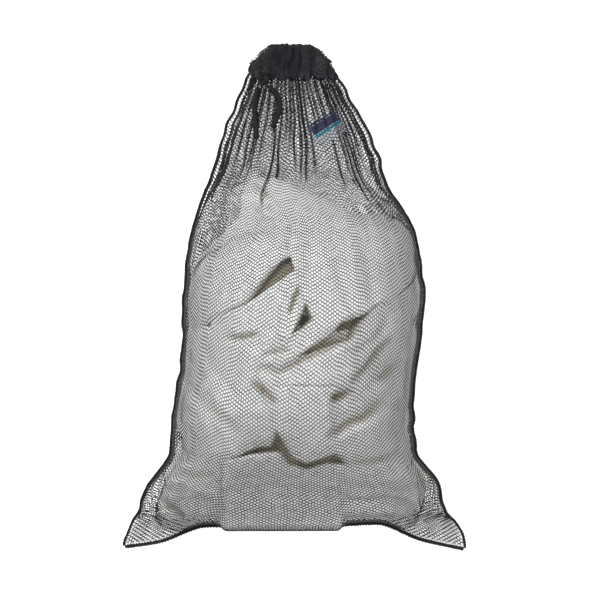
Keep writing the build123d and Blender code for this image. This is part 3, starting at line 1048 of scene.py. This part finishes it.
def head_point(turn, rows):
    """The gathered head's surface round the mouth: folds of uneven width and depth."""
    profile = np.array(HEAD_PROFILE, float)
    run = np.concatenate([[0], np.cumsum(np.linalg.norm(np.diff(profile[:, :2], axis=0), axis=1))])
    at = rows * run[-1]
    y, wide, high, fold = (np.interp(at, run, profile[:, k]) for k in range(4))
    phase = 19 * turn + 2.6 * noise(turn * 1.9 + 8, rows * 3, 81)
    phase = phase + 1.6 * noise(turn * 4 + 20, rows * 2, 82)
    rough = noise(turn * 8 + 30, rows * 9, 83)
    pull = fold * (0.55 * np.sin(phase) + 0.3 * np.sin(2.3 * phase + 1) + 0.6 * rough)
    r = 1 + pull / np.minimum(wide, 26)
    z = HEAD_Z + high * r * np.sin(turn)
    x = wide * r * np.cos(turn) - 3.0 * smooth(y, 244, 262)
    edge = 1.8 * noise(turn * 5 + 40, rows * 3, 84) - 2.2 * np.sin(phase) * (1 - smooth(rows, 0.0, 0.25))
    return np.stack([x, y + edge, np.maximum(z, FLOOR_GAP)], -1)


RUFFLE_COLUMNS = 104
RUFFLE_ROWS = 13


def make_head(dark, net):
    """The casing with the cord drawn through it, and the net's ruffled edge beyond."""
    rows, columns = 70, 620
    t = np.linspace(0, 1, rows)
    turn = np.linspace(0, 2 * np.pi, columns, endpoint=False)
    t, turn = pairs(t, turn)
    points = head_point(turn, t)
    faces = grid_faces(rows, columns, wrap=True)[:, ::-1]
    core = make_mesh("gathered_casing", points.reshape(-1, 3), {4: faces})
    use(core, dark)
    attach(core, "neck")
    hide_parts("drawstring_casing", "drawstring_loop")

    # the net's own edge stands out over the gathers as a ruffle, its cells real
    across, along = 901, 61
    turns = np.linspace(-np.pi, np.pi, across)
    part = np.linspace(0, 1, along)
    turns, part = pairs(turns, part)
    inner = head_point(turns, 0.02 + 0.52 * part)
    axis = np.stack([np.full(turns.shape, -3.0), inner[..., 1] - 6, np.full(turns.shape, HEAD_Z)], -1)
    out = inner - axis
    out /= np.linalg.norm(out, axis=-1, keepdims=True)
    swing = 0.6 + 0.4 * noise(turns * 4 + 9, part * 2, 92)
    wave = np.sin(23 * turns + 3 * noise(turns * 2 + 9, part, 91)) * swing
    stand = -2.4 + 3.6 * smooth(part + 0.1 * noise(turns * 5 + 3, part, 93), 0, 0.3)
    surface = inner + out * (stand + (2.8 + 2.4 * wave) * smooth(part, 0.15, 0.8))[..., None]
    surface[..., 2] = np.maximum(surface[..., 2], FLOOR_GAP)
    columns, rows = RUFFLE_COLUMNS, RUFFLE_ROWS
    obj = net_mesh("ruffle_net", surface[::-1], (0, columns), (0, rows), columns * COLUMN, rows * PITCH,
                   seed=140)
    use(obj, net)
    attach(obj, "neck")
    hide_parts("mouth_ruffle")
    return core, obj


# ---------------------------------------------------------------- cord
CORD = 6.5
CORD_STEP = 0.5
CORD_PITCH = 11.0  # one turn of its strands
LEFT_TAIL = [(-39.5, 234.3, 37.5), (-42.5, 222, 32.8), (-43.5, 206, 32.0), (-42, 190, 34.2),
             (-41.5, 176, 37.3)]
RIGHT_TAIL = [(-27.5, 234.3, 37.5), (-17.5, 225.5, 33.6), (-15, 213, 32.4), (-19, 200, 33.4),
              (-24, 189, 35.4)]


def nurbs_line(points):
    """Points down a smooth NURBS spline through a cord's route, in millimetres."""
    curve = bpy.data.curves.new("route", "CURVE")
    curve.dimensions = "3D"
    curve.resolution_u = 24
    spline = curve.splines.new("NURBS")
    spline.points.add(len(points) - 1)
    for point, place in zip(spline.points, points):
        point.co = (*place, 1)
    spline.order_u = 3
    spline.use_endpoint_u = True
    obj = bpy.data.objects.new("route", curve)
    mesh = bpy.data.meshes.new_from_object(obj)
    line = np.array([v.co for v in mesh.vertices])
    bpy.data.meshes.remove(mesh)
    bpy.data.objects.remove(obj)
    bpy.data.curves.remove(curve)
    return line


def cord_mesh(name, line, radius, closed=False, sides=30):
    """A twisted cord: three strands wound round each other, each with a round back."""
    line = resample(line[None], int(line_length(line) / CORD_STEP))[0]
    if closed:
        line = line[:-1]
    run = np.arange(len(line)) * CORD_STEP
    forward = (np.roll(line, -1, 0) - np.roll(line, 1, 0)) if closed else np.gradient(line, axis=0)
    forward /= np.linalg.norm(forward, axis=1, keepdims=True)
    side = np.empty_like(forward)
    last = np.cross(forward[0], (0.31, 0.2, 0.93))
    for i, f in enumerate(forward):
        last = last - f * (last @ f)
        last /= np.linalg.norm(last)
        side[i] = last
    up = np.cross(forward, side)
    angle = np.linspace(0, 2 * np.pi, sides, endpoint=False)
    wind = 1.5 * (angle[None] - 2 * np.pi * run[:, None] / CORD_PITCH)
    ply = 0.80 + 0.22 * np.abs(np.cos(wind)) ** 0.7
    ply = ply + 0.03 * np.sin(8 * wind + 5 * run[:, None])
    if not closed:
        tip = np.minimum(run, run[-1] - run)
        ply = ply * np.sqrt(np.clip(1 - (1 - np.clip(tip / 2.4, 0, 1)) ** 2, 0.02, 1))[:, None]
    ring = line[:, None] + radius * ply[..., None] * (
        np.cos(angle)[None, :, None] * side[:, None] + np.sin(angle)[None, :, None] * up[:, None])
    points = ring.reshape(-1, 3)
    if closed:
        quads = grid_faces(len(line) + 1, sides, wrap=True) % len(points)
        return make_mesh(name, points, {4: quads}), line
    points = np.concatenate([points, line[:1], line[-1:]])
    return make_mesh(name, points, tube_faces(len(line), sides)), line


def make_cords(material):
    for side, route in (("left", LEFT_TAIL), ("right", RIGHT_TAIL)):
        line = nurbs_line(route)
        obj, line = cord_mesh(f"{side}_tail_cord", line, CORD / 2)
        use(obj, material)
        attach(obj, f"{side}_tail")
        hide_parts(f"{side}_cord_tail")
    # an overhand knot that ties both ends together
    t = np.linspace(0, 2 * np.pi, 260)
    knot = np.stack([np.sin(t) + 2 * np.sin(2 * t), np.cos(t) - 2 * np.cos(2 * t), -np.sin(3 * t)], -1)
    knot = knot * (2.25, 2.25, 3.6) + np.array([-33.5, 246.0, 37.6])
    obj, _ = cord_mesh("tied_knot", knot, 3.3, closed=True)
    use(obj, material)
    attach(obj, "neck")
    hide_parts("drawstring_knot")


# ---------------------------------------------------------------- label
LABEL_CENTRE = (38.0, 188.0, 19.8)
LABEL_SIZE = (32.0, 25.0)
LABEL_TURN = 33.0


def make_label(material, thread):
    rows, columns = 40, 50
    b, a = pairs(np.linspace(-0.5, 0.5, rows), np.linspace(-0.5, 0.5, columns))
    c, s = math.cos(math.radians(LABEL_TURN)), math.sin(math.radians(LABEL_TURN))
    u, v = a * LABEL_SIZE[0], b * LABEL_SIZE[1]
    points = []
    for face in (1, -1):
        z = 1.6 * np.sin(2.2 * a + 0.5) + 1.2 * (0.5 - b) * np.sin(5 * a) + 0.22 * face
        points.append(np.stack([LABEL_CENTRE[0] + u * c - v * s, LABEL_CENTRE[1] + u * s + v * c,
                                LABEL_CENTRE[2] + z], -1).reshape(-1, 3))
    grid = grid_faces(rows, columns)
    size = rows * columns
    rim = np.concatenate([np.arange(columns), np.arange(1, rows) * columns + columns - 1,
                          (rows - 1) * columns + np.arange(columns - 2, -1, -1),
                          np.arange(rows - 2, 0, -1) * columns])
    after = np.roll(rim, -1)
    sides = np.stack([rim, rim + size, after + size, after], -1)
    faces = np.concatenate([grid, grid[:, ::-1] + size, sides])
    obj = make_mesh("woven_label", np.concatenate(points), {4: faces})
    layer = obj.data.uv_layers.new(name="ribbon")
    index = np.empty(len(obj.data.loops), np.int32)
    obj.data.loops.foreach_get("vertex_index", index)
    flat = np.stack([a.ravel() + 0.5, b.ravel() + 0.5], -1)
    layer.data.foreach_set("uv", np.concatenate([flat, flat])[index].astype(np.float32).ravel())
    use(obj, material)
    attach(obj, "label_flap")
    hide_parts("label")
    # a row of stitches along the label's upper edge
    along = np.linspace(-15, 15, 120)
    lift = LABEL_SIZE[1] / 2 + 1.2
    line = np.stack([LABEL_CENTRE[0] + along * c - lift * s, LABEL_CENTRE[1] + along * s + lift * c,
                     LABEL_CENTRE[2] + 0.6 + 0.5 * np.abs(np.sin(along * 1.1))], -1)
    obj = rope_mesh("label_stitches", line, 0.9, 0.5, bead=2.4)
    use(obj, thread)
    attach(obj, "neck")
    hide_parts("label_stitching")


# ---------------------------------------------------------------- build
set_stage()
net = net_material()
thread = yarn("overlock_yarn", (0.004, 0.004, 0.005), (0.014, 0.014, 0.016), roughness=0.7)
hem = yarn("hem_net", (0.0025, 0.0025, 0.003), (0.022, 0.022, 0.026), scale=420, roughness=0.8)
cord = yarn("cord_yarn", (0.003, 0.003, 0.0035), (0.012, 0.012, 0.014), scale=700, roughness=0.7)
towelling = cotton("towelling", (0.87, 0.87, 0.87), (0.80, 0.80, 0.79))

make_cords(cord)
for name in sorted({f.towel for f in FOLDS}):
    make_towel(name, towelling)
for number, (name, ends) in enumerate(CORES.items()):
    make_core(name, ends, towelling, CORE_SEED + number)
taut_grid, load_limit = load_grid()
front_surface = panel_surface(True, taut_grid, load_limit)
back_surface = panel_surface(False, taut_grid, load_limit)
make_panel("front", front_surface, net)
make_panel("back", back_surface[::-1], net)
make_seams(front_surface, back_surface, thread)
make_head(hem, net)
make_label(label_material(), yarn("label_yarn", (0.02, 0.03, 0.09), (0.05, 0.07, 0.16)))
